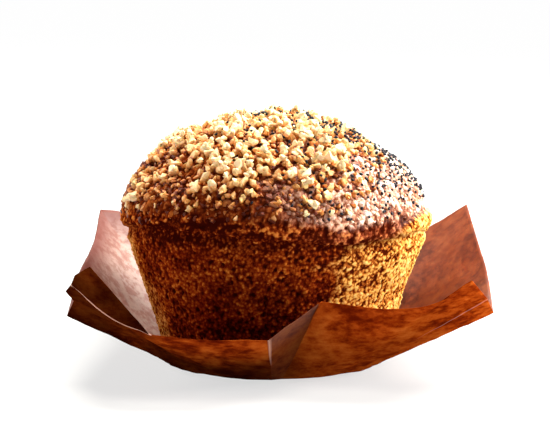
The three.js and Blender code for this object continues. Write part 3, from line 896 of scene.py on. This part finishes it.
def sponge_material():
    """Open crumb, gold to dark, darkened in its pits by painted shade and paler at the right and
    far left partly by painted light; a darker band below the lip, partly painted shade of the
    overhang; and a crust paled on the right by sugar glazing and painted highlight.
    """
    s = Shader("baked_sponge")
    pit_shade, crown = s.number("pit_shade"), s.number("crown")
    under, golden_and_lit = s.number("under_lip_bake_and_shade"), s.number("golden_and_lit")
    speck = s.noise(0.9, 4.0, 0.7)
    grain = s.cells(0.95)
    fine = s.math("ADD", s.math("MULTIPLY", speck, 0.55), s.math("MULTIPLY", grain, 0.35))
    # Painted shade darkens the pits; the fine specks and grain are the crumb's own colour.
    pit_shade_and_speck = s.math("ADD", s.math("MULTIPLY", pit_shade, 0.60), s.math("MULTIPLY", fine, 0.75))
    pale = s.ramp(pit_shade_and_speck, (0.52, (1.00, 0.74, 0.25)), (0.62, (0.95, 0.52, 0.10)),
                  (0.69, (0.52, 0.13, 0.018)), (0.77, (0.07, 0.008, 0.002)))
    ruddy = s.ramp(pit_shade_and_speck, (0.46, (0.72, 0.26, 0.035)), (0.58, (0.42, 0.085, 0.008)),
                   (0.68, (0.15, 0.014, 0.002)), (0.80, (0.03, 0.003, 0.001)))
    dark = s.ramp(pit_shade_and_speck, (0.45, (0.58, 0.16, 0.020)), (0.56, (0.29, 0.038, 0.004)),
                  (0.67, (0.12, 0.010, 0.002)), (0.80, (0.03, 0.003, 0.001)))
    # The wall's gold share carries painted light at the right and the far left edge.
    side = s.mix(s.span(golden_and_lit, 0.0, 0.5), dark, ruddy)
    side = s.mix(s.span(golden_and_lit, 0.4, 1.0), side, pale)
    crust = s.ramp(pit_shade_and_speck, (0.42, (0.32, 0.08, 0.016)), (0.55, (0.15, 0.022, 0.004)),
                   (0.66, (0.10, 0.012, 0.002)), (0.82, (0.03, 0.004, 0.001)))
    # Pale pinkish crust on the right: partly sugar glazing, partly painted highlight.
    glaze_and_highlight_colour = s.ramp(pit_shade_and_speck, (0.42, (0.92, 0.66, 0.52)), (0.54, (0.76, 0.40, 0.24)),
                   (0.66, (0.32, 0.075, 0.02)), (0.82, (0.06, 0.008, 0.002)))
    top = s.mix(s.number("glaze_and_highlight"), crust, glaze_and_highlight_colour)
    colour = s.mix(crown, side, top)
    # Band below the lip: partly its own darker bake, partly painted shade of the overhang.
    band = s.ramp(pit_shade_and_speck, (0.44, (0.62, 0.19, 0.030)), (0.55, (0.24, 0.030, 0.004)),
                  (0.68, (0.04, 0.003, 0.001)))
    colour = s.mix(s.math("MULTIPLY", under, 0.92), colour, band)
    s.link(colour, s.surface.inputs["Base Color"])
    shine = s.math("MULTIPLY", s.math("SUBTRACT", crown, under), s.number("glaze_and_highlight"))
    s.link(s.math("ADD", s.span(shine, 0, 1, 0.55, 0.25), s.math("MULTIPLY", speck, 0.2)),
           s.surface.inputs["Roughness"])
    s.link(s.span(shine, 0, 1, 0.0, 0.3), s.surface.inputs["Specular IOR Level"])
    s.soften(0.10, (2.0, 0.8, 0.3))
    s.bump(s.math("SUBTRACT", 1.0, fine), 0.5, 0.9)
    return s.material


def crumble_material():
    """Cream where the crumbs stand high, darker brown down between them by painted shade, with
    toasted patches.
    """
    s = Shader("crumble")
    mottle = s.noise(1.1, 3.0, 0.65)
    # Painted shade: the lower parts of the crumbs are coloured darker, their tops cream.
    height = s.math("ADD", s.number("height_for_painted_shade"), s.math("MULTIPLY", mottle, 1.2))
    toasted = s.noise(2.6, 3.0, 0.6)
    value = s.math("ADD", s.span(height, 0.8, 4.0),
                   s.math("SUBTRACT", s.math("MULTIPLY", s.number("tone"), 0.35),
                          s.span(toasted, 0.50, 0.66, 0.0, 0.20)))
    colour = s.ramp(value, (0.12, (0.16, 0.020, 0.003)), (0.32, (0.66, 0.22, 0.034)),
                    (0.56, (0.86, 0.51, 0.19)), (0.92, (0.90, 0.68, 0.39)))
    s.link(colour, s.surface.inputs["Base Color"])
    s.link(s.span(mottle, 0.3, 0.7, 0.30, 0.55), s.surface.inputs["Roughness"])
    s.surface.inputs["Specular IOR Level"].default_value = 0.35
    s.soften(0.22, (1.3, 0.5, 0.18))
    s.bump(s.noise(0.5, 3.0, 0.65), 0.25, 0.8)
    return s.material


def grit_material():
    """Grains baked brown at the left, pale at the right with sugar glazing and painted highlight,
    and darker low down by painted shade.
    """
    s = Shader("sugar_grit")
    mottle = s.noise(0.9, 3.0, 0.6)
    # Painted shade: lower grains are coloured darker.
    value = s.math("ADD", s.math("MULTIPLY", s.number("height_for_painted_shade"), 0.35),
                   s.math("ADD", s.math("MULTIPLY", s.number("tone"), 0.45),
                          s.math("MULTIPLY", mottle, 0.35)))
    baked = s.ramp(value, (0.25, (0.07, 0.007, 0.002)), (0.52, (0.165, 0.026, 0.006)),
                   (0.75, (0.50, 0.16, 0.036)), (1.00, (0.82, 0.46, 0.19)))
    # Pale pinkish grains on the right: partly sugar glazing, partly painted highlight.
    sugar_and_highlight_colour = s.ramp(value, (0.12, (0.26, 0.050, 0.012)), (0.32, (0.62, 0.26, 0.13)),
                    (0.52, (0.86, 0.58, 0.44)), (0.80, (0.94, 0.79, 0.71)))
    s.link(s.mix(s.number("glaze_and_highlight"), baked, sugar_and_highlight_colour), s.surface.inputs["Base Color"])
    s.link(s.span(mottle, 0.3, 0.7, 0.30, 0.55), s.surface.inputs["Roughness"])
    s.link(s.span(s.number("glaze_and_highlight"), 0, 1, 0.15, 0.5), s.surface.inputs["Specular IOR Level"])
    s.soften(0.20, (1.0, 0.45, 0.2))
    s.bump(s.noise(0.55, 3.0, 0.7), 0.3, 0.9)
    return s.material


def seed_material():
    """Blue-black and finely pitted."""
    s = Shader("poppy_seed")
    pits = s.cells(0.16)
    s.link(s.ramp(pits, (0.1, (0.004, 0.005, 0.008)), (0.7, (0.016, 0.018, 0.028))),
           s.surface.inputs["Base Color"])
    s.link(s.span(pits, 0.1, 0.7, 0.6, 0.42), s.surface.inputs["Roughness"])
    s.surface.inputs["Specular IOR Level"].default_value = 0.2
    s.bump(pits, 0.05, 0.8)
    return s.material


PAPER_TRANSLUCENCY = 0.32       # share of the light that passes through the sheet


def paper_material(name, sheen_strength, gloss):
    """Brown greaseproof paper, darkened by painted shade low down and at the left, and paled by a
    painted sheen set for each face.
    """
    s = Shader(name)
    crease, left_sheen = s.number("crease"), s.number("left_sheen")
    streaks = s.noise(4.2, 5.0, 0.7, s.stretched(0.75, 0.75, 1.3))
    clouds = s.noise(16.0, 3.0, 0.5)
    fibres = s.noise(1.2, 4.0, 0.7, s.stretched(0.5, 0.5, 1.3))
    value = s.math("ADD", s.math("MULTIPLY", streaks, 0.5),
                   s.math("ADD", s.math("MULTIPLY", clouds, 0.3), s.math("MULTIPLY", fibres, 0.2)))
    colour = s.ramp(value, (0.40, (0.09, 0.007, 0.001)), (0.46, (0.27, 0.034, 0.003)),
                    (0.52, (0.47, 0.084, 0.008)), (0.60, (0.62, 0.148, 0.018)))
    # Painted shade: the sheet is mixed towards near black where the shade mask is high.
    shade_share = s.math("MULTIPLY", s.number("painted_shade"), s.span(clouds, 0.3, 0.7, 1.0, 0.85))
    colour = s.mix(s.span(shade_share, 0.0, 1.0, 2.4 * sheen_strength, 0.97 - 1.6 * sheen_strength), colour,
                   (0.013, 0.0008, 0.0004))
    # Painted sheen: the face is paled towards pink-white, most on the left petal, brightest towards
    # its foot and reddish brown near the top edge.
    sheen_share = s.math("MULTIPLY", s.span(fibres, 0.3, 0.7, 0.85, 1.15),
                  s.span(left_sheen, 0.0, 1.0, sheen_strength, 4.4 * sheen_strength))
    stain = s.span(s.noise(3.5, 5.0, 0.65), 0.44, 0.58)
    low = s.mix(stain, (1.0, 0.80, 0.71), (0.80, 0.44, 0.36))
    high = s.mix(stain, (0.54, 0.34, 0.28), (0.36, 0.16, 0.12))
    sheen_colour = s.mix(s.span(s.number("climb"), 0.1, 0.8), low, high)
    sheen_colour = s.mix(s.span(s.number("climb"), 0.76, 0.95, 0.0, 0.85), sheen_colour, (0.22, 0.05, 0.035))
    colour = s.mix(sheen_share, colour, s.mix(left_sheen, (0.34, 0.15, 0.09), sheen_colour))
    # Creases paled: partly rubbed fibres, partly painted highlight.
    colour = s.mix(s.span(crease, 0.2, 0.8, 0.0, 0.95), colour, (0.85, 0.52, 0.40))
    s.link(colour, s.surface.inputs["Base Color"])
    s.link(s.span(streaks, 0.3, 0.7, 0.36, 0.50), s.surface.inputs["Roughness"])
    s.surface.inputs["Specular IOR Level"].default_value = gloss
    normal = s.bump(s.math("ADD", s.noise(0.6, 3.0, 0.7), streaks), 0.10, 0.6)
    through = s.node("ShaderNodeBsdfTranslucent")
    # Less orange light glows through where shade is painted.
    s.link(s.mix(s.span(shade_share, 0.0, 1.0, 0.5, 0.0), colour, (0.70, 0.15, 0.01)),
           through.inputs["Color"])
    s.link(normal, through.inputs["Normal"])
    blend = s.node("ShaderNodeMixShader")
    blend.inputs[0].default_value = PAPER_TRANSLUCENCY
    s.link(s.surface.outputs[0], blend.inputs[1])
    s.link(through.outputs[0], blend.inputs[2])
    s.link(blend.outputs[0], s.output.inputs["Surface"])
    return s.material


# --- Studio ------------------------------------------------------------------

CAMERA_DISTANCE = 0.520
CAMERA_ELEVATION = math.radians(8.5)
CAMERA_AIM = Vector((0.00058, 0, 0.0403))
FOCAL_LENGTH = 116.7

# Name, place, aim, width, watts and colour of each soft round lamp.
LAMPS = [
    ("key", (0.38, 0.20, 0.50), (0, 0, 0.04), 0.42, 11.8, (1.0, 0.96, 0.91)),
    ("left_rim", (-0.50, 0.16, 0.22), (0, 0, 0.03), 0.24, 2.1, (1.0, 0.97, 0.93)),
    ("front_top", (0.10, -0.26, 0.62), (0, 0, 0.06), 0.30, 1.9, (1.0, 0.94, 0.86)),
    ("left_top", (-0.14, 0.16, 0.54), (-0.04, 0, 0.02), 0.24, 3.6, (1.0, 0.97, 0.91)),
    ("right_fill", (0.50, -0.10, 0.22), (0, 0, 0.03), 0.20, 3.6, (1.0, 0.97, 0.93)),
]


def make_camera():
    camera = bpy.data.objects.new("camera", bpy.data.cameras.new("camera"))
    bpy.context.scene.collection.objects.link(camera)
    camera.data.sensor_width = 36
    camera.data.lens = FOCAL_LENGTH
    camera.data.clip_start = 0.01
    back = Vector((0, -math.cos(CAMERA_ELEVATION), math.sin(CAMERA_ELEVATION)))
    camera.location = CAMERA_AIM + CAMERA_DISTANCE * back
    camera.rotation_euler = (math.pi / 2 - CAMERA_ELEVATION, 0, 0)
    bpy.context.scene.camera = camera


def area_light(name, place, aim, size, watts, colour):
    light = bpy.data.lights.new(name, "AREA")
    light.shape = "DISK"
    light.size = size
    light.energy = watts
    light.color = colour
    lamp = bpy.data.objects.new(name, light)
    lamp.location = place
    lamp.rotation_euler = (Vector(aim) - Vector(place)).to_track_quat("-Z", "Y").to_euler()
    bpy.context.scene.collection.objects.link(lamp)


def make_sky():
    """Soft white light from all around, strongest from above and behind."""
    world = bpy.data.worlds.new("studio")
    bpy.context.scene.world = world
    world.use_nodes = True
    tree = world.node_tree
    back = tree.nodes["Background"]
    place = tree.nodes.new("ShaderNodeTexCoord")
    along = tree.nodes.new("ShaderNodeVectorMath")
    along.operation = "DOT_PRODUCT"
    along.inputs[1].default_value = Vector((0.20, 0.75, 0.60)).normalized()
    tree.links.new(place.outputs["Generated"], along.inputs[0])
    spread = tree.nodes.new("ShaderNodeMapRange")
    spread.interpolation_type = "SMOOTHSTEP"
    for key, number in (("From Min", -0.35), ("From Max", 0.75), ("To Min", 0.15), ("To Max", 1.1)):
        spread.inputs[key].default_value = number
    tree.links.new(along.outputs["Value"], spread.inputs["Value"])
    tree.links.new(spread.outputs[0], back.inputs["Strength"])


def make_floor():
    """A plain pale sweep that glows with painted light, dimmer near the muffin and brighter into
    the distance.
    """
    floor_mesh = bpy.data.meshes.new("floor")
    reach, drop = 14.0, -0.0002
    floor_mesh.from_pydata([(-reach, -reach, drop), (reach, -reach, drop), (reach, reach, drop),
                            (-reach, reach, drop)], [], [(0, 1, 2, 3)])
    floor = bpy.data.objects.new("floor", floor_mesh)
    bpy.context.scene.collection.objects.link(floor)
    s = Shader("pale_floor")
    s.surface.inputs["Base Color"].default_value = (0.28, 0.28, 0.276, 1)
    s.surface.inputs["Roughness"].default_value = 0.9
    s.surface.inputs["Specular IOR Level"].default_value = 0.1
    s.surface.inputs["Emission Color"].default_value = (1, 1, 1, 1)
    distance = s.node("ShaderNodeVectorMath", operation="LENGTH")
    s.link(s.place, distance.inputs[0])
    # Painted glow: the floor emits light, less near the muffin and more far away.
    s.link(s.span(distance.outputs["Value"], 0.10, 0.9, 0.66, 0.98),
           s.surface.inputs["Emission Strength"])
    floor_mesh.materials.append(s.material)


# --- Everything --------------------------------------------------------------

make_camera()
for lamp in LAMPS:
    area_light(*lamp)
make_sky()
make_floor()
bpy.context.scene.view_settings.view_transform = "Standard"
sponge = make_sponge()
make_wrapper()
crumble = make_crumble()
grit = make_sugar_grit()
make_seeds(ground_under_seeds([sponge, *grit, *crumble]))
